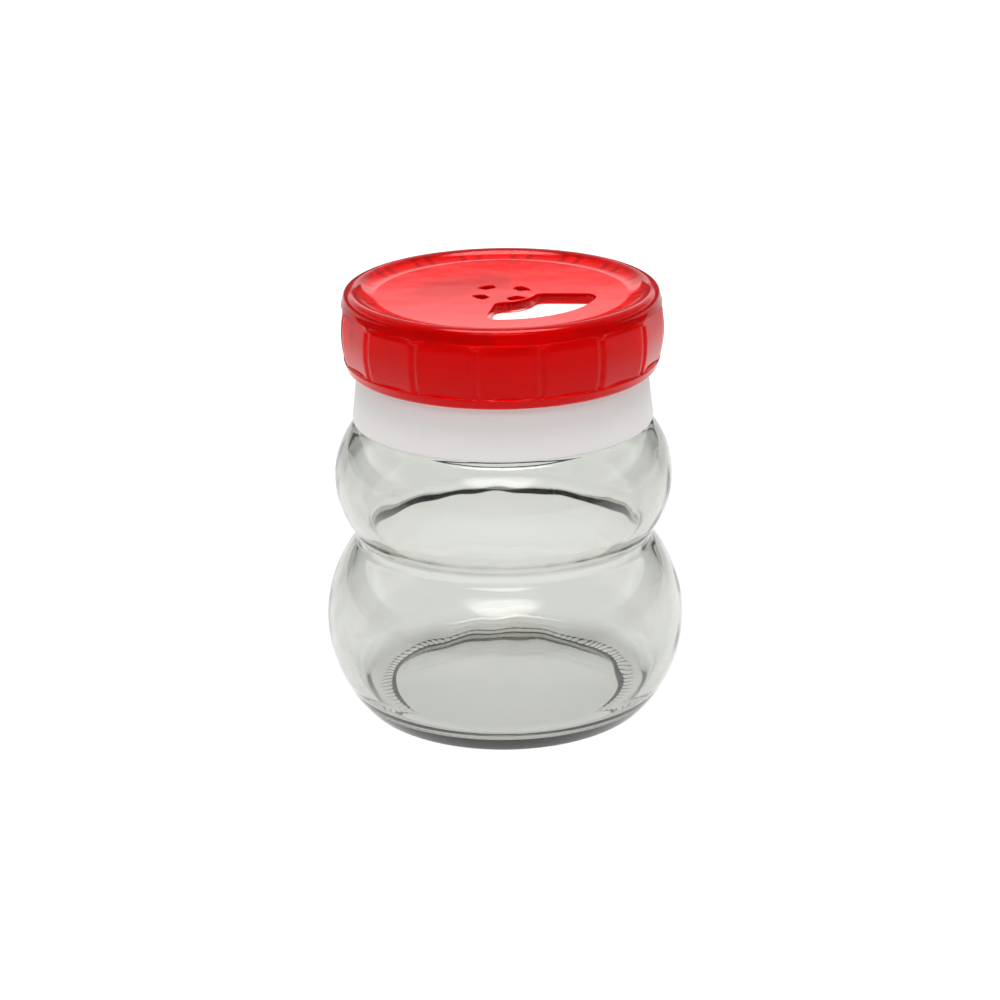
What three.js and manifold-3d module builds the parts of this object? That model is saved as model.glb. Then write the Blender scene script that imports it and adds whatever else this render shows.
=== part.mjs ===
// Coin bank jar: a two-bulge glass jar, a white screw cap and a red cover that turns on the cap.
// Millimetres, +Z up. The origin is at the middle of the base, on the surface the jar stands on.
import * as THREE from "three";
import { mergeVertices } from "three/addons/utils/BufferGeometryUtils.js";
import Module from "manifold-3d";

const wasm = await Module();
wasm.setup();

// Driving dimensions.
const totalHeight = 105;
const segments = 40; // round the jar and the seal
const gap = 0.4; // running clearance between pieces that slide on each other

// Each bulge is an arc. It runs between two heights outside, and between two others inside.
const lowerBulge = {
  axisRadius: 13.15, height: 22, arc: 30.8, from: 1.1, to: 42.6, innerFrom: 10.5, innerTo: 41.4,
};
const upperBulge = {
  axisRadius: 20.8, height: 58.5, arc: 20.2, from: 45.6, to: 72, innerFrom: 46.6, innerTo: 70.5,
};
const waist = { radius: 35.3, height: 43.9 }; // where the two bulges' bend turns
const glassWall = 3;
const base = { ringInner: 29.6, ringOuter: 32.6, ringRound: 0.8, pushUp: 2.2, floor: 4.4, floorRadius: 29.5 };
const heel = { innerCorner: 36.2, innerRise: 0.2, outerReach: 1.7, outerRise: 0.35 };
const neck = { outer: 31.9, inner: 29.3, foot: 76.5, top: 97.6, rim: 0.9 };
const shoulder = { flare: 0.6, outerDrop: 2.8, innerDrop: 3.6 }; // the bends below the neck

const thread = { lead: 6.2, turns: 1.25, bead: 1.1, start: 86.6, sides: 8, stepsPerTurn: 20 };
const capThreadDrop = 2.2; // the cap's thread runs this far under the jar's

const seal = { inner: 28.8, outer: 33, thickness: 1, clearance: 0.3 };
const cap = { bottom: 73.3, bottomRadius: 36.25, topRadius: 34.8, bore: 33.4, mouth: 34.5, plate: 1.5 };
const capEdge = { bottomRound: 0.4, bendRise: 8, topRound: 1.2 };
const pivotHole = 5.3;

const cover = { bottom: 86.2, barrel: 38.9, barrelHeight: 95.6, barrelArc: 24, wall: 36.5, lip: 35.3 };
const coverEdge = {
  lipTop: 1.6, wallFoot: 2.8, footRound: 0.4, sideFoot: 1.1, sideTop: 1.9, underRound: 1.3,
};
const dish = { plate: 2.3, depth: 1.6, floorRadius: 31, rimInner: 34.9 };
const grip = { facets: 16, stepsPerFacet: 4, from: 88.8, to: 101.6, groove: 0.8, turn: -9.1 };
const hooks = { count: 4, turn: 35, inner: 3.4, outer: 4.9, barb: 6.2, halfWidth: 20, foot: 97.4, corner: 0.3 };
const windows = { inner: 5, outer: 7.4 };
const opening = { inner: 8.2, outer: 22.8, from: -100, to: -4, corner: 2.9 };
const overcut = 1; // how far a cutter passes through a plate
const capOpeningTurn = 180; // the cap's opening lies opposite the cover's when the bank is shut

const plateTop = totalHeight - dish.depth;
const plateBottom = plateTop - dish.plate;
const capTop = plateBottom - gap;
const capUnder = capTop - cap.plate;
const rad = THREE.MathUtils.degToRad;
const point = (r, z) => new THREE.Vector2(r, z);

// Points along a circular arc of a profile, between two heights, on the side away from the axis.
function bulgeArc(bulge, arc, fromZ, toZ, steps) {
  const a0 = Math.asin((fromZ - bulge.height) / arc);
  const a1 = Math.asin((toZ - bulge.height) / arc);
  return Array.from({ length: steps + 1 }, (_, i) => {
    const a = a0 + ((a1 - a0) * i) / steps;
    return point(bulge.axisRadius + arc * Math.cos(a), bulge.height + arc * Math.sin(a));
  });
}

// The inner points of a smooth bend between two profile points, without its ends.
function bend(start, corner, end, steps) {
  return new THREE.QuadraticBezierCurve(start, corner, end).getPoints(steps).slice(1, -1);
}

// A closed manifold solid from any three.js geometry.
function solidOf(geometry) {
  const bare = new THREE.BufferGeometry();
  bare.setAttribute("position", geometry.getAttribute("position"));
  bare.setIndex(geometry.getIndex());
  const merged = mergeVertices(bare, 1e-4);
  const corners = merged.getIndex().array;
  const kept = [];
  for (let i = 0; i < corners.length; i += 3) {
    const [a, b, c] = [corners[i], corners[i + 1], corners[i + 2]];
    if (a !== b && b !== c && c !== a) kept.push(a, b, c);
  }
  return new wasm.Manifold(new wasm.Mesh({
    numProp: 3,
    vertProperties: new Float32Array(merged.getAttribute("position").array),
    triVerts: new Uint32Array(kept),
  }));
}

function geometryOf(solid) {
  const mesh = solid.getMesh();
  const geometry = new THREE.BufferGeometry();
  geometry.setAttribute("position", new THREE.BufferAttribute(mesh.vertProperties, mesh.numProp));
  geometry.setIndex(new THREE.BufferAttribute(mesh.triVerts, 1));
  geometry.computeVertexNormals();
  return geometry;
}

// A solid of revolution about Z. The profile runs up the outside.
function turned(profile, count) {
  return solidOf(new THREE.LatheGeometry(profile, count).rotateX(Math.PI / 2));
}

function extruded(shape, fromZ, toZ, curveSegments = 4) {
  const options = { depth: toZ - fromZ, bevelEnabled: false, curveSegments };
  return solidOf(new THREE.ExtrudeGeometry(shape, options).translate(0, 0, fromZ));
}

// A helix about Z for a screw thread's bead.
class Helix extends THREE.Curve {
  constructor(radius, startZ) {
    super();
    Object.assign(this, { radius, startZ });
  }
  getPoint(t, target = new THREE.Vector3()) {
    const angle = 2 * Math.PI * thread.turns * t;
    const z = this.startZ + thread.lead * thread.turns * t;
    return target.set(this.radius * Math.cos(angle), this.radius * Math.sin(angle), z);
  }
}

function threadBead(radius, startZ) {
  const section = new THREE.Shape().absarc(0, 0, thread.bead, 0, 2 * Math.PI);
  return solidOf(new THREE.ExtrudeGeometry(section, {
    steps: Math.round(thread.stepsPerTurn * thread.turns),
    curveSegments: thread.sides / 2,
    extrudePath: new Helix(radius, startZ),
  }));
}

// A ring sector with round corners, angles in degrees.
function sector({ inner, outer, from, to, corner }) {
  const shape = new THREE.Shape();
  const outward = Math.asin(corner / (outer - corner));
  const inward = Math.asin(corner / (inner + corner));
  const [a0, a1] = [rad(from), rad(to)];
  const round = (radius, angle, start, end) => {
    const [x, y] = [radius * Math.cos(angle), radius * Math.sin(angle)];
    shape.absarc(x, y, corner, start, end, false);
  };
  round(outer - corner, a0 + outward, a0 - Math.PI / 2, a0 + outward);
  shape.absarc(0, 0, outer, a0 + outward, a1 - outward, false);
  round(outer - corner, a1 - outward, a1 - outward, a1 + Math.PI / 2);
  round(inner + corner, a1 - inward, a1 + Math.PI / 2, a1 - inward + Math.PI);
  shape.absarc(0, 0, inner, a1 - inward, a0 + inward, true);
  round(inner + corner, a0 + inward, a0 + inward + Math.PI, a0 + 1.5 * Math.PI);
  return shape;
}

function hookSector(inner, outer, index) {
  const middle = hooks.turn + (360 / hooks.count) * index;
  const { halfWidth, corner } = hooks;
  return sector({ inner, outer, from: middle - halfWidth, to: middle + halfWidth, corner });
}

// One glass moulding: raised base, two bulges with a waist between them, and a threaded neck.
function glassJar() {
  const outside = [
    ...bulgeArc(lowerBulge, lowerBulge.arc, lowerBulge.from, lowerBulge.to, 8),
    ...bulgeArc(upperBulge, upperBulge.arc, upperBulge.from, upperBulge.to, 6),
  ];
  const outerTurn = outside.findIndex((p) => p.y > waist.height);
  outside.splice(outerTurn, 0, ...bend(outside[outerTurn - 1], point(waist.radius, waist.height),
    outside[outerTurn], 3));
  const inside = [
    ...bulgeArc(upperBulge, upperBulge.arc - glassWall, upperBulge.innerTo, upperBulge.innerFrom, 5),
    ...bulgeArc(lowerBulge, lowerBulge.arc - glassWall, lowerBulge.innerTo, lowerBulge.innerFrom, 6),
  ];
  const innerTurn = inside.findIndex((p) => p.y < waist.height);
  inside.splice(innerTurn, 0, ...bend(inside[innerTurn - 1], point(waist.radius - glassWall, waist.height),
    inside[innerTurn], 2));
  const neckFoot = point(neck.outer, neck.foot);
  const innerFoot = point(neck.inner, neck.foot);
  const floorEdge = point(base.floorRadius, base.floor);
  const profile = [
    point(0, base.pushUp),
    point(base.ringInner * 0.6, base.pushUp * 0.75),
    point(base.ringInner - base.ringRound, base.ringRound / 2),
    point(base.ringInner, 0),
    point(base.ringOuter, 0),
    point(base.ringOuter + heel.outerReach, heel.outerRise),
    ...outside,
    ...bend(outside.at(-1), point(neck.outer + shoulder.flare, neck.foot - shoulder.outerDrop), neckFoot, 3),
    neckFoot,
    point(neck.outer, neck.top - neck.rim),
    point(neck.outer - neck.rim / 2, neck.top - neck.rim / 4),
    point((neck.outer + neck.inner) / 2, neck.top),
    point(neck.inner + neck.rim / 2, neck.top - neck.rim / 4),
    point(neck.inner, neck.top - neck.rim),
    innerFoot,
    ...bend(innerFoot, point(neck.inner + shoulder.flare, neck.foot - shoulder.innerDrop), inside[0], 2),
    ...inside,
    ...bend(inside.at(-1), point(heel.innerCorner, base.floor + heel.innerRise), floorEdge, 3),
    floorEdge,
    point(0, base.floor),
  ];
  return turned(profile, segments).add(threadBead(neck.outer, thread.start));
}

// Soft ring clamped between the cap and the glass rim.
function sealRing() {
  const low = neck.top + seal.clearance;
  const high = low + seal.thickness;
  const { inner, outer } = seal;
  return turned([point(inner, low), point(outer, low), point(outer, high), point(inner, high),
    point(inner, low)], segments);
}

// White cap: the plate that closes the mouth, and a long skirt with the thread inside it.
function screwCap() {
  const { bottom, bottomRadius, topRadius, bore, mouth } = cap;
  const { bottomRound, bendRise, topRound } = capEdge;
  const skirtFoot = point(bottomRadius, bottom + bottomRound);
  const skirtTop = point(topRadius, cover.bottom + 1);
  const profile = [
    point(0, capUnder),
    point(bore, capUnder),
    point(bore, neck.foot + 3),
    point(mouth, bottom + 1),
    point(mouth + 0.3, bottom),
    point(bottomRadius - bottomRound, bottom),
    skirtFoot,
    ...bend(skirtFoot, point(topRadius + bottomRound, bottom + bendRise), skirtTop, 4),
    skirtTop,
    point(topRadius, capTop - topRound),
    point(topRadius - topRound / 3, capTop - topRound / 3),
    point(topRadius - topRound, capTop),
    point(0, capTop),
  ];
  const pivot = new THREE.Shape().absarc(0, 0, pivotHole, 0, 2 * Math.PI);
  const pour = { ...opening, from: opening.from + capOpeningTurn, to: opening.to + capOpeningTurn };
  return turned(profile, segments)
    .add(threadBead(bore, thread.start - capThreadDrop))
    .subtract(extruded(pivot, capUnder - overcut, capTop + overcut))
    .subtract(extruded(sector(pour), capUnder - overcut, capTop + overcut));
}

// Flattens the outside of the cover's skirt into facets that still follow its barrel shape.
function flattenFacets(geometry) {
  const facet = (2 * Math.PI) / grip.facets;
  const at = geometry.getAttribute("position");
  for (let i = 0; i < at.count; i += 1) {
    const [x, y, z] = [at.getX(i), at.getY(i), at.getZ(i)];
    const onGrip = Math.hypot(x, y) > cover.wall + 0.3 && z > grip.from && z < grip.to;
    if (!onGrip) continue;
    const fromCorner = THREE.MathUtils.euclideanModulo(Math.atan2(x, -y) - rad(grip.turn), facet);
    const scale = Math.cos(facet / 2) / Math.cos(fromCorner - facet / 2);
    at.setXY(i, x * scale, y * scale);
  }
  return geometry;
}

// Upright V grooves, one at each corner between two facets.
function gripGrooves() {
  const radius = grip.groove * Math.SQRT2;
  const height = grip.to - grip.from;
  const cutters = Array.from({ length: grip.facets }, (_, i) => {
    const diamond = new THREE.CylinderGeometry(radius, radius, height, 4).rotateX(Math.PI / 2);
    const angle = rad(grip.turn) + (2 * Math.PI * i) / grip.facets;
    return solidOf(diamond.translate(0, -cover.barrel - 0.2, (grip.from + grip.to) / 2).rotateZ(angle));
  });
  return wasm.Manifold.union(cutters);
}

// Red cover: a shallow dish with a gripped skirt, turning on the cap on four snap hooks.
function turningCover() {
  const { bottom, barrel, barrelHeight, barrelArc, wall, lip } = cover;
  const { lipTop, wallFoot, footRound, sideFoot, sideTop, underRound } = coverEdge;
  const side = bulgeArc({ axisRadius: barrel - barrelArc, height: barrelHeight }, barrelArc, bottom + sideFoot,
    totalHeight - sideTop, 8);
  const rim = point(dish.rimInner + 0.7, totalHeight);
  const profile = [
    point(0, plateBottom),
    point(wall - underRound, plateBottom),
    point(wall, plateBottom - underRound),
    point(wall, bottom + wallFoot),
    point(lip, bottom + lipTop),
    point(lip, bottom + footRound),
    point(lip + footRound, bottom),
    point(lip + 1, bottom),
    ...side,
    ...bend(side.at(-1), point(side.at(-1).x - 0.2, totalHeight), rim, 3),
    rim,
    point(dish.rimInner, totalHeight - 0.15),
    point(dish.floorRadius, plateTop),
    point(0, plateTop),
  ];
  const blank = new THREE.LatheGeometry(profile, grip.facets * grip.stepsPerFacet, rad(grip.turn));
  let solid = solidOf(flattenFacets(blank.rotateX(Math.PI / 2))).subtract(gripGrooves());
  for (let i = 0; i < hooks.count; i += 1) {
    const finger = extruded(hookSector(hooks.inner, hooks.outer, i), hooks.foot, plateBottom + 0.5, 1);
    const barb = extruded(hookSector(hooks.outer - 0.6, hooks.barb, i), hooks.foot, capUnder - gap, 1);
    const window = extruded(hookSector(windows.inner, windows.outer, i), plateBottom - 0.2,
      plateTop + overcut, 1);
    solid = solid.add(finger).add(barb).subtract(window);
  }
  return solid.subtract(extruded(sector(opening), plateBottom - overcut, plateTop + overcut));
}

function part(name, solid, color, roughness, extra = {}) {
  const material = new THREE.MeshStandardMaterial({ color, roughness, metalness: 0, ...extra });
  const mesh = new THREE.Mesh(geometryOf(solid), material);
  mesh.name = name;
  return mesh;
}

const clearGlass = { transparent: true, opacity: 0.35 };
const redPlastic = { transparent: true, opacity: 0.9 };

const group = new THREE.Group();
group.add(
  part("glass_jar", glassJar(), "#d9dcd8", 0.05, clearGlass),
  part("seal_ring", sealRing(), "#e9e7e2", 0.6),
  part("screw_cap", screwCap(), "#eae5e1", 0.4),
  part("turning_cover", turningCover(), "#d40505", 0.15, redPlastic),
);

export default group;
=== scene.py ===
import math

import bmesh
import bpy
import numpy as np
from mathutils import Matrix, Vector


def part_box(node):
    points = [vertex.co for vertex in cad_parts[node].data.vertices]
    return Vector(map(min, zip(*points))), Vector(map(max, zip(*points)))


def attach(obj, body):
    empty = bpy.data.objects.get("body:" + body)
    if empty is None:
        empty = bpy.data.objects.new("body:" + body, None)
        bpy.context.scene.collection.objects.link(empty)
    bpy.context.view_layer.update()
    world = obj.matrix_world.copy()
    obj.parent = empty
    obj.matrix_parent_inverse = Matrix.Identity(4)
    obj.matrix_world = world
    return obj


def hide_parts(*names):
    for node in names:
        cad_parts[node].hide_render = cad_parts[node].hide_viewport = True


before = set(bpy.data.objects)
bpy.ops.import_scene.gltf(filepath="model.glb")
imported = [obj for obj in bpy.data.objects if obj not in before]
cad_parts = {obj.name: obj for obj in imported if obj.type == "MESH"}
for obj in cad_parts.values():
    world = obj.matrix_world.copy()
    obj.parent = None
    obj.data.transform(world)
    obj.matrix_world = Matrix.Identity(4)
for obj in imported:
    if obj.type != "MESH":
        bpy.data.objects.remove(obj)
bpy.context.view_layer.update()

mm = 0.001  # profiles are in millimetres, meshes in metres
jarBox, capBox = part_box("glass_jar"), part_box("screw_cap")
sealBox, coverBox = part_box("seal_ring"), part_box("turning_cover")
print("stage: frame loaded")


def arcRows(centre, radius, fromZ, toZ, count):  # a bulge's arc, on the side away from the axis
    a = np.linspace(math.asin((fromZ - centre[1]) / radius), math.asin((toZ - centre[1]) / radius), count)
    return [(centre[0] + radius * math.cos(t), centre[1] + radius * math.sin(t)) for t in a]


def bendRows(start, corner, end, count):  # a smooth bend, without its two ends
    rows = []
    for t in np.linspace(0, 1, count + 2)[1:-1]:
        rows.append(tuple((1 - t) ** 2 * s + 2 * t * (1 - t) * c + t * t * e
                          for s, c, e in zip(start, corner, end)))
    return rows


def lineRows(start, end, count):  # evenly spaced points, with both ends
    return [tuple(p) for p in np.linspace(start, end, count)]


def smoothStep(low, high, value):
    t = np.clip((value - low) / (high - low), 0, 1)
    return t * t * (3 - 2 * t)


def spinMesh(name, rows, count, shape=None, start=0.0, ring=False):
    # Turns rows of (radius, height) about Z, listed up the outside. Angle 0 faces the front.
    rows = np.array(rows)
    angle = start + np.arange(count) * 2 * math.pi / count
    first, last = 0, len(rows)
    if not ring:  # a row at radius 0 becomes one pole
        first, last = int(rows[0, 0] == 0), last - int(rows[-1, 0] == 0)
    r = np.repeat(rows[first:last, :1], count, axis=1)
    z = np.repeat(rows[first:last, 1:], count, axis=1)
    if shape:
        r, z = shape(np.repeat(angle[None], len(r), axis=0), r, z)
    verts = np.stack([r * np.sin(angle), -r * np.cos(angle), z], -1).reshape(-1, 3)
    grid = np.arange(len(verts)).reshape(len(r), count)
    low, high = (grid, np.roll(grid, -1, 0)) if ring else (grid[:-1], grid[1:])
    quads = np.stack([low, np.roll(low, -1, 1), np.roll(high, -1, 1), high], -1).reshape(-1, 4).tolist()
    points = (verts * mm).tolist()
    if first:
        points.append((0, 0, rows[0, 1] * mm))
        quads += [(len(points) - 1, int(b), int(a)) for a, b in zip(grid[0], np.roll(grid[0], -1))]
    elif not ring:
        quads.append(grid[0][::-1].tolist())
    if last < len(rows):
        points.append((0, 0, rows[-1, 1] * mm))
        quads += [(len(points) - 1, int(a), int(b)) for a, b in zip(grid[-1], np.roll(grid[-1], -1))]
    elif not ring:
        quads.append(grid[-1].tolist())
    return meshObject(name, points, quads)


def meshObject(name, points, faces):
    mesh = bpy.data.meshes.new(name)
    mesh.from_pydata(points, [], faces)
    piece = bpy.data.objects.new(name, mesh)
    bpy.context.scene.collection.objects.link(piece)
    return piece


def prism(name, outline, low, high):  # a closed upright prism from an outline in millimetres
    n = len(outline)
    points = [(x * mm, y * mm, z * mm) for z in (low, high) for x, y in outline]
    faces = [list(range(n))[::-1], list(range(n, 2 * n))]
    faces += [(i, (i + 1) % n, n + (i + 1) % n, n + i) for i in range(n)]
    return meshObject(name, points, faces)


def sectorOutline(inner, outer, low, high, corner, steps=8, arcSteps=40):
    # A ring sector with round corners. Angles in degrees, counter-clockwise from +X.
    a0, a1 = math.radians(low), math.radians(high)
    outward, inward = math.asin(corner / (outer - corner)), math.asin(corner / (inner + corner))

    def sweep(radius, angle, reach, fromA, toA, count):
        cx, cy = radius * math.cos(angle), radius * math.sin(angle)
        turns = np.linspace(fromA, toA, count)
        return [(cx + reach * math.cos(t), cy + reach * math.sin(t)) for t in turns]

    half = math.pi / 2
    points = sweep(outer - corner, a0 + outward, corner, a0 - half, a0 + outward, steps)
    points += sweep(0, 0, outer, a0 + outward, a1 - outward, arcSteps)[1:-1]
    points += sweep(outer - corner, a1 - outward, corner, a1 - outward, a1 + half, steps)
    points += sweep(inner + corner, a1 - inward, corner, a1 + half, a1 - inward + math.pi, steps)
    points += sweep(0, 0, inner, a1 - inward, a0 + inward, arcSteps // 2)[1:-1]
    points += sweep(inner + corner, a0 + inward, corner, a0 + inward + math.pi, a0 + 3 * half, steps)
    return points


def applyModifiers(piece):
    view = bpy.context.evaluated_depsgraph_get()
    mesh = bpy.data.meshes.new_from_object(piece.evaluated_get(view))
    piece.modifiers.clear()
    old = piece.data
    piece.data = mesh
    mesh.name = piece.name
    bpy.data.meshes.remove(old)


def cutAway(piece, cutters):
    for cutter in cutters:
        cut = piece.modifiers.new("cut", "BOOLEAN")
        cut.operation, cut.solver, cut.object = "DIFFERENCE", "EXACT", cutter
    applyModifiers(piece)
    for cutter in cutters:
        bpy.data.objects.remove(cutter)


soften = {"segments": 3, "level": 0.01, "sharper": 0.6}  # sharper is in radians


def softenEdges(piece, width, heights, reach):
    # Rounds the sharp edges that lie flat at the given heights, nearer the axis than reach.
    work = bmesh.new()
    work.from_mesh(piece.data)
    weight = work.edges.layers.float.new("bevel_weight_edge")
    for edge in work.edges:
        z = [v.co.z / mm for v in edge.verts]
        near = max(math.hypot(v.co.x, v.co.y) for v in edge.verts) / mm < reach
        level = any(max(abs(z[0] - h), abs(z[1] - h)) < soften["level"] for h in heights)
        sharp = len(edge.link_faces) == 2 and edge.calc_face_angle(0) > soften["sharper"]
        if near and level and sharp:
            edge[weight] = 1.0
    work.to_mesh(piece.data)
    work.free()
    bevel = piece.modifiers.new("soften", "BEVEL")
    bevel.limit_method, bevel.width, bevel.segments = "WEIGHT", width * mm, soften["segments"]
    bevel.use_clamp_overlap = True
    bevel.harden_normals = True
    for face in piece.data.polygons:
        face.use_smooth = True
    applyModifiers(piece)


flats = {"corners": 60, "upright": 0.999, "near": 0.8}


def keepFlats(mesh):  # lets a large level face keep its own normal up to its edge
    level = {}
    for face in mesh.polygons:
        if face.loop_total > flats["corners"] and abs(face.normal.z) > flats["upright"]:
            for v in face.vertices:
                level.setdefault(v, []).append(face.normal.copy())
    normals = [n.vector.copy() for n in mesh.corner_normals]
    for face in mesh.polygons:
        for i in face.loop_indices:
            for flat in level.get(mesh.loops[i].vertex_index, ()):
                if face.normal.dot(flat) > flats["near"]:
                    normals[i] = flat
    mesh.normals_split_custom_set(normals)


def finishPiece(piece, body, material, slot, *nodes, sharp=None):
    for face in piece.data.polygons:
        face.use_smooth = True
    if sharp:
        piece.data.set_sharp_from_angle(angle=math.radians(sharp))
        keepFlats(piece.data)
    piece.data.materials.clear()
    piece.data.materials.append(material)
    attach(piece, body)
    if nodes:
        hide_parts(*nodes)
    return piece


class Value:  # a socket that takes part in Python expressions
    def __init__(self, shade, socket):
        self.shade, self.socket = shade, socket

    def combine(self, operation, other, swap=False):
        pair = (other, self) if swap else (self, other)
        return self.shade.node("ShaderNodeMath", {"operation": operation}, {0: pair[0], 1: pair[1]})

    def __add__(self, other): return self.combine("ADD", other)
    def __radd__(self, other): return self.combine("ADD", other, True)
    def __sub__(self, other): return self.combine("SUBTRACT", other)
    def __rsub__(self, other): return self.combine("SUBTRACT", other, True)
    def __mul__(self, other): return self.combine("MULTIPLY", other)
    def __rmul__(self, other): return self.combine("MULTIPLY", other, True)
    def __truediv__(self, other): return self.combine("DIVIDE", other)
    def __rtruediv__(self, other): return self.combine("DIVIDE", other, True)
    def __pow__(self, other): return self.combine("POWER", other)
    def __rpow__(self, other): return self.combine("POWER", other, True)
    def __abs__(self): return self.combine("ABSOLUTE", 0.0)
    def fraction(self): return self.combine("FRACT", 0.0)
    def atMost(self, limit): return self.combine("MINIMUM", limit)


class Shade:  # the node tree of one material, or of the world
    def __init__(self, name, kind="materials"):
        self.owner = getattr(bpy.data, kind).new(name)
        self.owner.use_nodes = True
        self.tree = self.owner.node_tree
        self.tree.nodes.clear()
        target, place = "Material", "Object"
        if kind == "worlds":
            target, place = "World", "Generated"
        self.output = self.tree.nodes.new("ShaderNodeOutput" + target)
        self.place = self.node("ShaderNodeTexCoord", out=place)

    def node(self, kind, settings=None, inputs=None, out=0):
        made = self.tree.nodes.new(kind)
        for key, value in (settings or {}).items():
            setattr(made, key, value)
        for key, value in (inputs or {}).items():
            if isinstance(value, Value):
                self.tree.links.new(value.socket, made.inputs[key])
            else:
                made.inputs[key].default_value = value
        return Value(self, made.outputs[out])

    def noise(self, scale, detail=2.0, stretch=(1, 1, 1), seed=0.0):
        where = self.node("ShaderNodeMapping", None, {"Vector": self.place, "Scale": stretch,
                                                      "Location": (seed, seed * 0.7, -seed)})
        inputs = {"Vector": where, "Scale": scale, "Detail": detail}
        return self.node("ShaderNodeTexNoise", None, inputs)

    def mix(self, factor, first, second):
        return self.node("ShaderNodeMix", {"data_type": "RGBA"}, {0: factor, 6: first, 7: second}, 2)

    def bump(self, height, distance):
        return self.node("ShaderNodeBump", None, {"Height": height, "Distance": distance})

    def rise(self, value, low, high, fromValue=0.0, toValue=1.0):  # a smooth step between two levels
        return self.node("ShaderNodeMapRange", {"interpolation_type": "SMOOTHSTEP"}, {
            "Value": value, "From Min": low, "From Max": high, "To Min": fromValue, "To Max": toValue})

    def fall(self, value, low, high):
        return self.rise(value, low, high, 1.0, 0.0)

    def axes(self):
        return (self.node("ShaderNodeSeparateXYZ", None, {0: self.place}, axis) for axis in "XYZ")

    def finish(self, inputs, volume=None):
        shader = self.node("ShaderNodeBsdfPrincipled", None, inputs)
        self.tree.links.new(shader.socket, self.output.inputs["Surface"])
        if volume:
            inside = self.node("ShaderNodeVolumeAbsorption", None, volume)
            self.tree.links.new(inside.socket, self.output.inputs["Volume"])
        return self.owner


glassLook = {
    "ior": 1.5, "absorb": 235.0, "tint": (0.67, 0.679, 0.64),
    "wave": 0.00012, "waveScale": 38, "grainScale": 420, "rough": 0.012,
    "pale": (0.985, 0.995, 0.985, 1), "clear": (1.0, 1.0, 1.0, 1),
}


def clearGlass():
    s, look = Shade("clearGlass"), glassLook
    slow = s.noise(look["waveScale"], 1.0, (1, 1, 0.6), 3.0)
    fine = s.noise(look["grainScale"], 2.0, seed=8.0)
    return s.finish({
        "Base Color": s.mix(slow, look["pale"], look["clear"]), "Roughness": fine * look["rough"],
        "IOR": look["ior"], "Transmission Weight": 1.0, "Normal": s.bump(slow, look["wave"]),
    }, {"Color": (*look["tint"], 1), "Density": look["absorb"]})


redLook = {
    "ior": 1.38, "absorb": 700.0, "tint": (0.99, 0.03, 0.02), "clear": 0.7,
    "shine": (1.0, 0.26, 0.26),  # reflections are tinted, as in dyed plastic
    "flowScale": 60, "grainScale": 900, "rough": (0.02, 0.05), "wave": 0.00003,
    "dull": (0.97, 0.002, 0.002, 1), "bright": (1.0, 0.005, 0.004, 1),
    "paintedShade": (0.55, 0.0, 0.0, 1),  # painted shade: a darker red standing in for how the plastic looks where it is thick or seen on edge
    "rollFrom": (0.0328, 0.035), "rollAbove": (0.1008, 0.102),  # the rolled rim, painted darker as shade, in metres
    "cutWithin": (0.0285, 0.0295), "cutAbove": (0.1013, 0.1016), "cutBelow": (0.103, 0.1033),
    # paired marks beside the facet corners on the rim, painted darker as shade
    "ribs": 16, "ribTurn": -9.1, "ribAside": 0.345, "ribWidth": (0.03, 0.085),
    "ribFrom": (0.0298, 0.0312), "ribTo": (0.0335, 0.035),
}


def redPlastic():
    s, look = Shade("redPlastic"), redLook
    flow = s.noise(look["flowScale"], 2.0, (1, 1, 2.5), 5.0)
    grain = s.noise(look["grainScale"], 2.0, seed=2.0)
    x, y, z = s.axes()
    radius = (x ** 2 + y ** 2) ** 0.5
    around = y.combine("ARCTAN2", x) * (look["ribs"] / math.tau)
    corner = (around - look["ribTurn"] * look["ribs"] / 360).fraction()  # 0 and 1 at the facet corners
    # Painted shade: these masks mark where a darker red is painted, on the rolled rim, on the opening
    # walls and beside the facet corners.
    ribShade = s.fall(abs(abs(corner - 0.5) - look["ribAside"]), *look["ribWidth"])
    ribShade = ribShade * s.rise(radius, *look["ribFrom"]) * s.fall(radius, *look["ribTo"])
    ribShade = ribShade * s.rise(z, *look["rollAbove"])
    roll = s.rise(radius, *look["rollFrom"]) * s.rise(z, *look["rollAbove"])
    cut = s.fall(radius, *look["cutWithin"]) * s.rise(z, *look["cutAbove"])
    cut = cut * s.fall(z, *look["cutBelow"])  # painted shade on the walls of the openings in the dish
    hue = s.mix((ribShade + roll + cut).atMost(1.0), s.mix(flow, look["dull"], look["bright"]), look["paintedShade"])
    smooth, dulling = look["rough"]
    return s.finish({
        "Base Color": hue, "Roughness": grain * dulling + smooth, "IOR": look["ior"],
        "Transmission Weight": look["clear"], "Specular Tint": (*look["shine"], 1),
        "Normal": s.bump(flow, look["wave"]),
    }, {"Color": (*look["tint"], 1), "Density": look["absorb"]})


whiteLook = {
    "ior": 1.49, "cloudScale": 55, "grainScale": 1500, "rough": (0.34, 0.12), "grain": 0.00002,
    "dull": (0.76, 0.74, 0.73, 1), "bright": (0.79, 0.77, 0.76, 1),
}


def whitePlastic():
    s, look = Shade("whitePlastic"), whiteLook
    cloud = s.noise(look["cloudScale"], 3.0, seed=1.0)
    grain = s.noise(look["grainScale"], 2.0, seed=6.0)
    smooth, dulling = look["rough"]
    return s.finish({
        "Base Color": s.mix(cloud, look["dull"], look["bright"]), "Roughness": grain * dulling + smooth,
        "IOR": look["ior"], "Normal": s.bump(grain, look["grain"]),
    })


foamLook = {
    "cellScale": 1800.0, "rough": 0.75, "depth": 0.00005,
    "wall": (0.9, 0.89, 0.87, 1), "cell": (0.78, 0.77, 0.75, 1),
}


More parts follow.
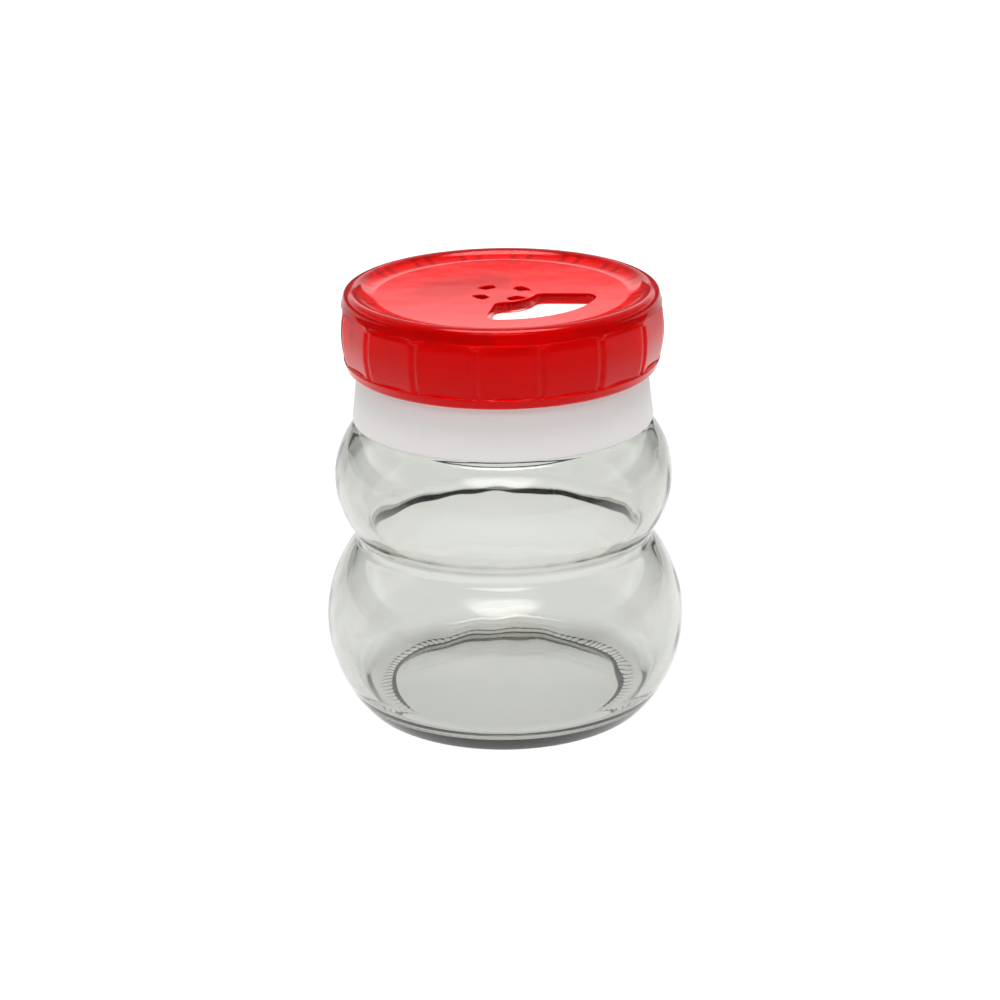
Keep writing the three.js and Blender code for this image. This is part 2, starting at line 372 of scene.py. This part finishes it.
def sealFoam():
    s, look = Shade("sealFoam"), foamLook
    cells = s.node("ShaderNodeTexVoronoi", None, {"Vector": s.place, "Scale": look["cellScale"]})
    return s.finish({
        "Base Color": s.mix(cells, look["wall"], look["cell"]), "Roughness": look["rough"],
        "Normal": s.bump(cells, look["depth"]),
    })


glass, red, white, foam = clearGlass(), redPlastic(), whitePlastic(), sealFoam()
print("stage: materials made")


jar = {  # millimetres; an arc is (centre radius, centre height), radius
    "lower": ((13.15, 22.0), 30.8), "lowerOuter": (1.3, 42.0), "lowerInner": (40.8, 9.4),
    "upper": ((20.8, 58.5), 20.2), "upperOuter": (46.2, 72.0), "upperInner": (70.5, 47.2),
    "waist": (35.05, 43.83), "waistInside": 0.15, "wall": 3.0, "heel": 2.2, "innerHeel": 36.8,
    "ringInner": 29.6, "ringOuter": 32.6, "ringRise": 1.3, "pushUp": 2.2,
    "floor": 4.4, "floorRadius": 30.7, "floorCrown": 0.25, "knurls": 96, "knurlDepth": 0.22,
    "neckOuter": 31.9, "neckInner": 29.3, "neckFoot": 76.5, "lip": 1.3, "top": jarBox[1].z / mm,
    "columns": 288, "swell": 0.09, "swellFrom": (10, 20), "swellTo": (70, 80),
}
waves = [  # how the inside of the glass wanders: size, waves round, twist a millimetre, start
    (0.6, 3, 0.11, 0.6), (0.5, 7, -0.17, 2.1), (0.3, 17, 0.3, 0.0), (0.15, 29, -0.5, 0.0),
]
thread = {
    "lead": 6.2, "turns": 1.25, "start": 86.6, "height": 1.1, "width": 1.15, "capDrop": 2.2,
    "runIn": 0.02, "runUp": 0.06,  # shares of a turn over which an end fades in
}


def threadHeight(angle, z, start):  # how far a thread's bead stands out at each point of a wall
    t = thread
    along = np.mod(angle - math.pi / 2, 2 * math.pi) / (2 * math.pi)
    out = np.zeros_like(z)
    for turn in range(-1, 3):
        run = along + turn
        ends = smoothStep(-t["runIn"], t["runUp"], run)
        ends = ends * (1 - smoothStep(t["turns"] - t["runUp"], t["turns"] + t["runIn"], run))
        away = (z - start - run * t["lead"]) / t["width"]
        out = np.maximum(out, ends * np.sqrt(np.clip(1 - away * away, 0, 1)))
    return out * t["height"]


def shapeJar(angle, r, z):
    j = jar
    foot = smoothStep(j["ringInner"] - 1.2, j["ringInner"] - 0.2, r)
    foot *= 1 - smoothStep(j["ringOuter"] - 0.6, j["ringOuter"] + 0.6, r)
    under = foot * (z < 0.6)
    z = z + under * j["knurlDepth"] * (0.5 - 0.5 * np.cos(j["knurls"] * angle))
    outside = np.zeros_like(r)
    outside[:jarOutside] = 1
    onNeck = outside * (z > j["neckFoot"] + 2)
    r = r + onNeck * threadHeight(angle, z, thread["start"])
    inside = (1 - outside) * smoothStep(*j["swellFrom"], z) * (1 - smoothStep(*j["swellTo"], z))
    wave = sum(size * np.sin(lobes * angle + twist * z + first) for size, lobes, twist, first in waves)
    return r + inside * j["swell"] * wave, z


def jarRows():
    j = jar
    (lower, lowerArc), (upper, upperArc) = j["lower"], j["upper"]
    wallTop = (j["ringInner"] - 1.4, j["ringRise"])
    underside = [(wallTop[0] * t, j["pushUp"] - (j["pushUp"] - j["ringRise"]) * t ** 3)
                 for t in np.linspace(0, 1, 12)]
    ring = bendRows(wallTop, (j["ringInner"] - 0.7, j["ringRise"]), (j["ringInner"] - 0.4, 0.5), 3)
    ring += bendRows((j["ringInner"] - 0.4, 0.5), (j["ringInner"], 0), (j["ringInner"] + 0.5, 0), 4)
    ring += lineRows((j["ringInner"] + 0.5, 0), (j["ringOuter"], 0), 6)
    lowSide = arcRows(lower, lowerArc, *j["lowerOuter"], 42)
    heel = bendRows(ring[-1], (j["ringOuter"] + j["heel"], 0), lowSide[0], 7)
    highSide = arcRows(upper, upperArc, *j["upperOuter"], 28)
    waistBend = bendRows(lowSide[-1], j["waist"], highSide[0], 12)
    neckFoot = (j["neckOuter"], j["neckFoot"])
    shoulder = bendRows(highSide[-1], (j["neckOuter"] + 0.6, j["neckFoot"] - 2.8), neckFoot, 8)
    neckSide = lineRows(neckFoot, (j["neckOuter"], 84), 8)
    neckSide += lineRows((j["neckOuter"], 84.25), (j["neckOuter"], j["top"] - j["lip"]), 48)  # thread
    lipMiddle = (j["neckOuter"] + j["neckInner"]) / 2
    lip = [(lipMiddle + j["lip"] * math.cos(t), j["top"] - j["lip"] + j["lip"] * math.sin(t))
           for t in np.linspace(0, math.pi, 13)[1:]]
    innerFoot = (j["neckInner"], j["neckFoot"])
    innerNeck = lineRows((j["neckInner"], j["top"] - 4), innerFoot, 8)
    highInner = arcRows(upper, upperArc - j["wall"], *j["upperInner"], 24)
    innerShoulder = bendRows(innerFoot, (j["neckInner"] + 0.6, j["neckFoot"] - 3.6), highInner[0], 6)
    lowInner = arcRows(lower, lowerArc - j["wall"], *j["lowerInner"], 30)
    waistCorner = (j["waist"][0] - j["wall"] + j["waistInside"], j["waist"][1])
    innerWaist = bendRows(highInner[-1], waistCorner, lowInner[0], 12)
    floorEdge = (j["floorRadius"], j["floor"])
    innerHeel = bendRows(lowInner[-1], (j["innerHeel"], j["floor"] + 0.1), floorEdge, 9)
    floor = [(j["floorRadius"] * t, j["floor"] + j["floorCrown"] * (1 - t * t))
             for t in np.linspace(1, 0, 10)]
    outer = underside + ring + heel + lowSide + waistBend + highSide + shoulder + neckSide + lip[:6]
    inner = lip[6:] + innerNeck + innerShoulder + highInner + innerWaist + lowInner + innerHeel + floor
    return outer, inner


outerRows, innerRows = jarRows()
jarOutside = len(outerRows) - 1
glassJar = spinMesh("glassJar", outerRows + innerRows, jar["columns"], shapeJar)
finishPiece(glassJar, "jar", glass, "clear_glass", "glass_jar")
print("stage: glass jar", len(glassJar.data.polygons), "faces")


seal = {
    "inner": 28.8, "outer": sealBox[1].x / mm, "low": sealBox[0].z / mm, "high": sealBox[1].z / mm,
    "round": 0.25, "columns": 192,
}


def sealRows():
    rows = []
    corners = [(seal["outer"], seal["low"], -90), (seal["outer"], seal["high"], 0),
               (seal["inner"], seal["high"], 90), (seal["inner"], seal["low"], 180)]
    for r, z, start in corners:
        cx = r - seal["round"] if r == seal["outer"] else r + seal["round"]
        cz = z + seal["round"] if z == seal["low"] else z - seal["round"]
        for a in np.radians(np.linspace(start, start + 90, 5)):
            rows.append((cx + seal["round"] * math.cos(a), cz + seal["round"] * math.sin(a)))
    return rows


sealRing = spinMesh("sealRing", sealRows(), seal["columns"], ring=True)
finishPiece(sealRing, "seal", foam, "seal_foam", "seal_ring")
print("stage: seal ring")


cap = {
    "bottom": capBox[0].z / mm, "top": capBox[1].z / mm, "bottomRadius": 36.25, "topRadius": 34.8,
    "taperTo": 87.2, "edge": 0.45, "shoulder": 1.3, "bore": 33.4, "boreFoot": 79.5, "mouth": 34.5,
    "plate": 1.5, "plateRadius": 24.5, "pivot": 5.3, "round": 0.25, "columns": 256,
}
opening = {"inner": 8.2, "outer": 22.8, "low": -100, "high": -4, "corner": 2.9, "within": 24}


def shapeCap(angle, r, z):
    onBore = (np.abs(r - cap["bore"]) < 0.05) & (z < cap["top"] - cap["plate"] - 0.2)
    return r - onBore * threadHeight(angle, z, thread["start"] - thread["capDrop"]), z


def capRows():
    c = cap
    under = c["top"] - c["plate"]
    bore = lineRows((c["bore"], under - 0.3), (c["bore"], 96), 8)
    bore += lineRows((c["bore"], 95.7), (c["bore"], 82), 46)  # close rows for the thread
    bore += lineRows((c["bore"], 81), (c["bore"], c["boreFoot"]), 2)
    mouth = lineRows((c["mouth"] - 0.2, c["bottom"] + 2.4), (c["mouth"], c["bottom"] + 0.7), 3)
    edge = bendRows(mouth[-1], (c["mouth"] + 0.1, c["bottom"]), (c["mouth"] + 0.8, c["bottom"]), 3)
    edge += [(c["mouth"] + 0.8, c["bottom"]), (c["bottomRadius"] - c["edge"], c["bottom"])]
    sideFoot = (c["bottomRadius"], c["bottom"] + c["edge"])
    edge += bendRows(edge[-1], (c["bottomRadius"], c["bottom"]), sideFoot, 4) + [sideFoot]
    sideTop = (c["topRadius"], c["taperTo"])
    side = bendRows(sideFoot, (c["topRadius"] + 0.4, c["bottom"] + 8), sideTop, 16) + [sideTop]
    side += lineRows((c["topRadius"], 88.5), (c["topRadius"], c["top"] - c["shoulder"]), 8)
    crownEdge = (c["topRadius"] - c["shoulder"], c["top"])
    crown = bendRows(side[-1], (c["topRadius"], c["top"]), crownEdge, 5)
    crown += lineRows(crownEdge, (c["plateRadius"], c["top"]), 6)
    return [(c["plateRadius"], under), (c["bore"] - 0.3, under)] + bore + mouth + edge + side + crown


def openingCutter(name, turn, low, high):
    o = opening
    outline = sectorOutline(o["inner"], o["outer"], o["low"] + turn, o["high"] + turn, o["corner"])
    return prism(name, outline, low, high)


def roundOutline(radius, count=72):
    return [(radius * math.cos(t), radius * math.sin(t)) for t in np.arange(count) * 2 * math.pi / count]


screwCap = spinMesh("screwCap", capRows(), cap["columns"], shapeCap)
capUnder = cap["top"] - cap["plate"]
cutAway(screwCap, [openingCutter("capOpening", 180, capUnder - 1, cap["top"] + 1),
                   prism("capPivot", roundOutline(cap["pivot"]), capUnder - 1, cap["top"] + 1)])
softenEdges(screwCap, cap["round"], (cap["top"], capUnder), opening["within"])
finishPiece(screwCap, "cap", white, "white_plastic", "screw_cap", sharp=35)
print("stage: screw cap", len(screwCap.data.polygons), "faces")


cover = {
    "bottom": coverBox[0].z / mm, "top": coverBox[1].z / mm, "barrel": (14.9, 95.6), "arc": 24.0,
    "wall": 36.5, "lip": 35.3, "plate": 2.3, "depth": 1.6, "dishFrom": 29.8, "floorRadius": 32.7,
    "rimInner": 34.9, "facets": 16, "turn": -9.1, "gripLow": 88.7, "gripHigh": 101.6,
    "dip": 1.3, "dipWidth": 0.9, "groove": 0.75, "grooveWidth": 0.55, "round": 0.22, "columns": 512,
}


def shapeCover(angle, r, z):
    c = cover
    facet = 2 * math.pi / c["facets"]
    local = np.mod(angle - math.radians(c["turn"]), facet) - facet / 2  # 0 at the middle of a facet
    away = (facet / 2 - np.abs(local)) * c["wall"]  # millimetres from the nearest corner
    top = c["gripHigh"] - c["dip"] * np.exp(-(away / c["dipWidth"]) ** 2)
    onGrip = smoothStep(c["gripLow"] - 0.2, c["gripLow"] + 0.2, z)
    onGrip = onGrip * (1 - smoothStep(top - 0.1, top + 0.1, z))
    onGrip = onGrip * (r > c["wall"] + 0.35) * (np.arange(len(r))[:, None] >= coverSide)
    flat = 1 - np.cos(facet / 2) / np.cos(local)
    return r - onGrip * (r * flat + c["groove"] * np.exp(-(away / c["grooveWidth"]) ** 2)), z


def coverRows():
    c = cover
    plateTop = c["top"] - c["depth"]
    under = plateTop - c["plate"]
    inner = [(c["dishFrom"], under), (c["wall"] - 1.3, under)]
    inner += bendRows(inner[-1], (c["wall"], under), (c["wall"], under - 1.3), 5)
    inner += lineRows((c["wall"], under - 1.3), (c["wall"], c["bottom"] + 2.8), 10)
    lipTop = (c["lip"], c["bottom"] + 1.6)
    inner += bendRows(inner[-1], (c["wall"] - 0.2, c["bottom"] + 2.0), lipTop, 5) + [lipTop]
    inner += [(c["lip"], c["bottom"] + 0.6)]
    foot = (c["lip"] + 0.6, c["bottom"])
    inner += bendRows(inner[-1], (c["lip"], c["bottom"]), foot, 4) + [foot, (c["lip"] + 0.9, c["bottom"])]
    heights = np.concatenate([np.linspace(c["bottom"] + 1.1, c["gripLow"] - 0.4, 6),
                              np.linspace(c["gripLow"] - 0.3, c["gripLow"] + 0.3, 6),
                              np.linspace(c["gripLow"] + 0.6, c["gripHigh"] - 1.7, 14),
                              np.linspace(c["gripHigh"] - 1.6, c["gripHigh"] + 0.3, 32),
                              np.linspace(c["gripHigh"] + 0.6, c["top"] - 1.9, 4)])
    side = []
    for z in heights:
        side += arcRows(c["barrel"], c["arc"], z, z, 1)
    lip = bendRows(inner[-1], (side[0][0] - 0.1, c["bottom"]), side[0], 5)
    crest = (c["rimInner"] + 0.6, c["top"])
    rim = bendRows(side[-1], (side[-1][0] - 0.1, c["top"] - 0.05), crest, 9) + [crest]
    rim += bendRows(crest, (c["rimInner"], c["top"]), (c["rimInner"] - 0.7, c["top"] - 0.3), 4)
    dishEdge = (c["rimInner"] - 0.7, c["top"] - 0.3)
    rim += [dishEdge] + bendRows(dishEdge, (c["floorRadius"], plateTop), (c["dishFrom"], plateTop), 12)
    rim.append((c["dishFrom"], plateTop))
    return inner + lip, side + rim


lowRows, highRows = coverRows()
coverSide = len(lowRows)
turningCover = spinMesh("turningCover", lowRows + highRows, cover["columns"], shapeCover,
                        math.radians(cover["turn"]))
plateTop = cover["top"] - cover["depth"]
plateUnder = plateTop - cover["plate"]
hooks = {
    "count": 4, "turn": 35, "inner": 3.4, "outer": 4.9, "barb": 6.2, "half": 20, "foot": 97.4,
    "barbTop": 98.8, "windowInner": 4.3, "windowOuter": 7.4, "windowCorner": 0.8, "corner": 0.25,
}


def windowCutters():
    for i in range(hooks["count"]):
        middle = hooks["turn"] + 360 / hooks["count"] * i
        outline = sectorOutline(hooks["windowInner"], hooks["windowOuter"], middle - hooks["half"],
                                middle + hooks["half"], hooks["windowCorner"], 5, 12)
        yield prism("window", outline, plateUnder - 1, plateTop + 1)


cutAway(turningCover, [openingCutter("coverOpening", 0, plateUnder - 1, plateTop + 1), *windowCutters()])
softenEdges(turningCover, cover["round"], (plateTop, plateUnder), opening["within"])
finishPiece(turningCover, "cover", red, "red_plastic", "turning_cover", sharp=35)
print("stage: turning cover", len(turningCover.data.polygons), "faces")


def ringTree(name):
    # Places copies of one mesh round the axis. The mesh is modelled at the front, in its own place.
    tree = bpy.data.node_groups.new(name, "GeometryNodeTree")
    for label, kind in [("Geometry", "Geometry"), ("Count", "Int"), ("Turn", "Float"),
                        ("Material", "Material")]:
        tree.interface.new_socket(label, in_out="INPUT", socket_type="NodeSocket" + kind)
    tree.interface.new_socket("Geometry", in_out="OUTPUT", socket_type="NodeSocketGeometry")
    made = {label: tree.nodes.new(kind) for label, kind in [
        ("in", "NodeGroupInput"), ("out", "NodeGroupOutput"), ("points", "GeometryNodePoints"),
        ("place", "GeometryNodeInstanceOnPoints"), ("index", "GeometryNodeInputIndex"),
        ("share", "ShaderNodeMath"), ("turn", "ShaderNodeMath"), ("spin", "ShaderNodeCombineXYZ"),
        ("real", "GeometryNodeRealizeInstances"), ("paint", "GeometryNodeSetMaterial"),
        ("step", "ShaderNodeMath")]}
    for label, operation in [("step", "DIVIDE"), ("share", "MULTIPLY"), ("turn", "ADD")]:
        made[label].operation = operation
    made["step"].inputs[0].default_value = 2 * math.pi
    for source, output, target, socket in [
            ("in", "Count", "points", "Count"), ("in", "Count", "step", 1),
            ("index", 0, "share", 0), ("step", 0, "share", 1),
            ("share", 0, "turn", 0), ("in", "Turn", "turn", 1), ("turn", 0, "spin", "Z"),
            ("points", 0, "place", "Points"), ("in", "Geometry", "place", "Instance"),
            ("spin", 0, "place", "Rotation"), ("place", 0, "real", 0),
            ("real", 0, "paint", "Geometry"), ("in", "Material", "paint", "Material"),
            ("paint", 0, "out", 0)]:
        tree.links.new(made[source].outputs[output], made[target].inputs[socket])
    return tree


ringOf = ringTree("ringOf")


def repeatRound(piece, count, turn, material):
    repeat = piece.modifiers.new("ring", "NODES")
    repeat.node_group = ringOf
    names = {s.name: s.identifier for s in ringOf.interface.items_tree if s.in_out == "INPUT"}
    repeat[names["Count"]] = count
    repeat[names["Turn"]] = math.radians(turn)
    repeat[names["Material"]] = material
    applyModifiers(piece)
    return piece


def hookMesh():  # one snap hook: an upright finger with a barb that tapers to a lead-in
    h = hooks
    front = -90
    profile = [
        (plateUnder - 0.02, h["inner"], h["outer"]), (h["barbTop"] + 0.4, h["inner"], h["outer"]),
        (h["barbTop"], h["inner"], h["outer"]), (h["barbTop"] - 0.05, h["inner"], h["barb"] - 0.1),
        (h["barbTop"] - 0.5, h["inner"], h["barb"]),
        (h["foot"] + 0.2, h["inner"] + 0.1, h["outer"] + 0.1),
        (h["foot"], h["inner"] + 0.3, h["outer"] - 0.2),
    ]
    rows = []
    for z, inner, outer in profile:
        outline = sectorOutline(inner, outer, front - h["half"], front + h["half"], h["corner"], 3, 10)
        rows.append([(x * mm, y * mm, z * mm) for x, y in outline])
    n = len(rows[0])
    faces = [list(range(n)), list(range(len(rows) * n - n, len(rows) * n))[::-1]]
    for k in range(len(rows) - 1):
        low, high = k * n, (k + 1) * n
        faces += [(low + i, high + i, high + (i + 1) % n, low + (i + 1) % n) for i in range(n)]
    return meshObject("snapHooks", [p for row in rows for p in row], faces)


snapHooks = repeatRound(hookMesh(), hooks["count"], hooks["turn"] + 90, red)
finishPiece(snapHooks, "cover", red, "red_plastic", sharp=35)

nubs = {
    "count": 12, "turn": 15, "height": 95.0, "wide": 1.7, "tall": 1.2, "proud": 0.4,
    "across": 12, "up": 6,  # faces round a bead and from its foot to its top
}


def nubMesh():  # one small bead on the cover's inner wall, which steadies it on the cap
    points, faces = [], []
    across, up = nubs["across"], nubs["up"]
    for k in range(up + 1):
        lean = math.pi / 2 * k / up
        for i in range(across):
            a = 2 * math.pi * i / across
            points.append((nubs["wide"] * math.cos(lean) * math.cos(a) * mm,
                           (-cover["wall"] + 0.03 + nubs["proud"] * math.sin(lean)) * mm,
                           (nubs["height"] + nubs["tall"] * math.cos(lean) * math.sin(a)) * mm))
    for k in range(up):
        faces += [(k * across + i, k * across + (i + 1) % across, (k + 1) * across + (i + 1) % across,
                   (k + 1) * across + i) for i in range(across)]
    faces.append(list(range(across))[::-1])
    nub = meshObject("gripNubs", points, faces)
    work = bmesh.new()
    work.from_mesh(nub.data)
    bmesh.ops.remove_doubles(work, verts=work.verts, dist=1e-7)
    bmesh.ops.recalc_face_normals(work, faces=work.faces)
    work.to_mesh(nub.data)
    work.free()
    return nub


gripNubs = repeatRound(nubMesh(), nubs["count"], nubs["turn"], red)
finishPiece(gripNubs, "cover", red, "red_plastic", sharp=50)
print("stage: hooks and beads")


studio = {
    "floor": 6.0, "floorSides": 96, "floorDrop": 0.0003, "floorGlow": 0.92, "floorFar": 0.5,
    "floorFall": (0.1, 0.5), "floorTone": 0.12, "floorVary": 0.02, "floorRough": 0.9,
    "dark": 0.22, "backFrom": (-0.5, 0.2),  # the sky's front half, and where the back begins
    "low": 0.12, "lowTo": (0.25, 0.29), "white": 1.4, "highFrom": (0.31, 0.5), "sky": 0.45,
    "topFrom": (0.9, 0.965), "top": 13.0,
    "softbox": (-0.03, 0.68, 0.38, 0.11),  # across, up, half width, half height
    "softEdge": (0.4, 1.4), "softPower": 3.8, "softBehind": (-0.2, 0.0),
}


def makeFloor():
    count = studio["floorSides"]
    points = [(studio["floor"] * math.cos(a), studio["floor"] * math.sin(a), -studio["floorDrop"])
              for a in np.arange(count) * 2 * math.pi / count]
    floor = meshObject("floor", points, [list(range(count))])
    s = Shade("paleFloor")
    low, high = studio["floorTone"], studio["floorTone"] + studio["floorVary"]
    pale = s.mix(s.noise(2.0), (low, low, low, 1), (high, high, high, 1))
    away = s.node("ShaderNodeVectorMath", {"operation": "LENGTH"}, {0: s.place}, "Value")
    glow = s.rise(away, *studio["floorFall"], studio["floorGlow"], studio["floorFar"])
    seen = s.node("ShaderNodeLightPath", out="Is Camera Ray")
    floor.data.materials.append(s.finish({
        "Base Color": pale, "Roughness": studio["floorRough"], "Emission Color": (1, 1, 1, 1),
        "Emission Strength": glow + seen * (1 - glow),
    }))


def makeWorld():
    s = Shade("studioSky", "worlds")
    bpy.context.scene.world = s.owner
    x, y, z = s.axes()
    climb = s.rise(z, *studio["lowTo"], studio["low"], studio["white"])
    climb = climb + s.rise(z, *studio["highFrom"], 0.0, studio["sky"] - studio["white"])
    walls = studio["dark"] + s.rise(y, *studio["backFrom"]) * (climb - studio["dark"])
    above = s.rise(z, *studio["topFrom"], 0.0, studio["top"])
    across, up, wide, tall = studio["softbox"]
    spread = ((x - across) / wide) ** 2 + ((z - up) / tall) ** 2
    box = s.rise(spread, *studio["softEdge"], studio["softPower"], 0.0) * s.fall(y, *studio["softBehind"])
    light = walls + above + box
    light = light + s.node("ShaderNodeLightPath", out="Is Camera Ray") * (1.0 - light)
    sky = s.node("ShaderNodeBackground", None, {"Color": s.node("ShaderNodeCombineXYZ", None, {
        axis: light for axis in "XYZ"})})
    s.tree.links.new(sky.socket, s.output.inputs["Surface"])


camera = {
    "back": 580.1, "height": 264.7, "pitch": 20.22, "roll": -0.75, "yaw": 0.095,
    "lens": 91.17, "sensor": 36, "clip": (0.01, 20),
}


def makeCamera():
    data = bpy.data.cameras.new("camera")
    data.lens, data.sensor_width = camera["lens"], camera["sensor"]
    data.clip_start, data.clip_end = camera["clip"]
    eye = bpy.data.objects.new("camera", data)
    turn = Matrix.Rotation(math.radians(camera["yaw"]), 4, "Z")
    tip = Matrix.Rotation(math.radians(90 - camera["pitch"]), 4, "X")
    roll = Matrix.Rotation(math.radians(camera["roll"]), 4, "Z")
    place = Matrix.Translation((0, -camera["back"] * mm, camera["height"] * mm))
    eye.matrix_world = place @ turn @ tip @ roll
    bpy.context.scene.collection.objects.link(eye)
    bpy.context.scene.camera = eye


makeFloor()
makeWorld()
makeCamera()
bpy.context.scene.view_settings.view_transform = "Standard"
print("stage: studio ready")

bpy.context.view_layer.update()
